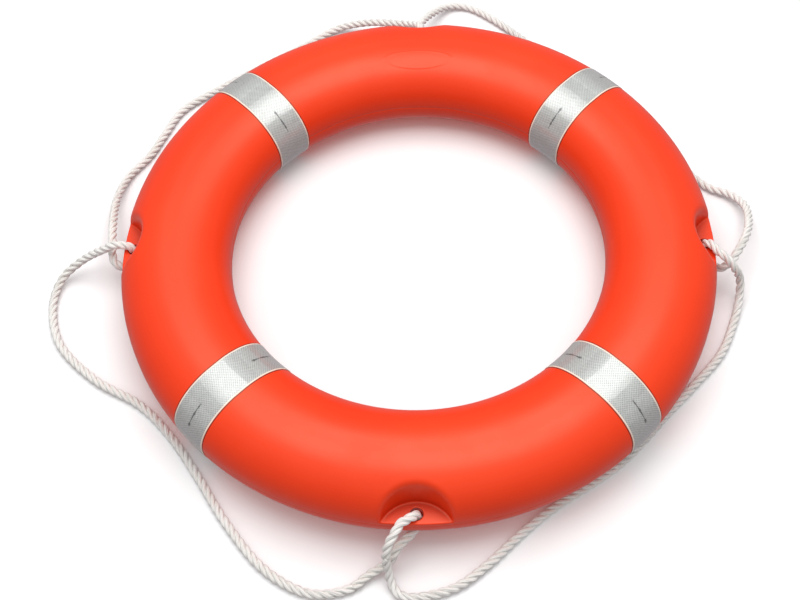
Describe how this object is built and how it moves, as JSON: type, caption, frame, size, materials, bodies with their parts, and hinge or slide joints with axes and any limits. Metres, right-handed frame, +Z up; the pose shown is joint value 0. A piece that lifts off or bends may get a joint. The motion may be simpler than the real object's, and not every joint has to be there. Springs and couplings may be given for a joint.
{
  "type": "ring lifebuoy",
  "caption": "Foam-filled ring lifebuoy with reflective tapes and a grab line threaded through rim lugs; each rope loop swings up to be gripped.",
  "frame": {"origin": "centre of the ring on its mid-plane, halfway through the clear opening", "axes": "+Z up along the axis of the ring, -Y towards the front rope lug, +X towards the right rope lug"},
  "size_m": [0.8689, 0.8818, 0.1069],
  "materials": {
    "shell": "semi-gloss moulded polyethylene",
    "foam": "closed-cell foam",
    "tape": "silver retro-reflective mesh tape",
    "rope": "laid synthetic rope",
    "sleeve": "shrunk sleeve",
    "plug": "moulded polyethylene"
  },
  "bodies": {
    "ring": {"upper_shell": "shell", "lower_shell": "shell", "foam_core": "foam", "tape_front_right": "tape", "tape_back_right": "tape", "tape_back_left": "tape", "tape_front_left": "tape", "hitch_front": "rope", "hitch_right": "rope", "hitch_back": "rope", "hitch_left": "rope", "filler_plug": "plug", "vent_plug": "plug"},
    "grab_loop_front_right": {"loop_front_right": "rope"},
    "grab_loop_back_right": {"loop_back_right": "rope", "rope_sleeve": "sleeve"},
    "grab_loop_back_left": {"loop_back_left": "rope"},
    "grab_loop_front_left": {"loop_front_left": "rope"}
  },
  "joints": [
    {"name": "swing_front_right", "type": "hinge", "parent": "ring", "child": "grab_loop_front_right", "pos_m": [-0.02171, -0.36536, 0.011], "axis": [-0.7497, -0.6618, 0], "range_deg": [0, 90]},
    {"name": "swing_back_right", "type": "hinge", "parent": "ring", "child": "grab_loop_back_right", "pos_m": [0.38928, 0.00408, -0.0074], "axis": [0.7074, -0.7068, 0.0122], "range_deg": [0, 90]},
    {"name": "swing_back_left", "type": "hinge", "parent": "ring", "child": "grab_loop_back_left", "pos_m": [-0.00766, 0.36592, 0.011], "axis": [0.7328, 0.6792, 0.0408], "range_deg": [0, 90]},
    {"name": "swing_front_left", "type": "hinge", "parent": "ring", "child": "grab_loop_front_left", "pos_m": [-0.36599, 0.00319, 0.011], "axis": [-0.6371, 0.7637, 0.1048], "range_deg": [0, 90]}
  ]
}
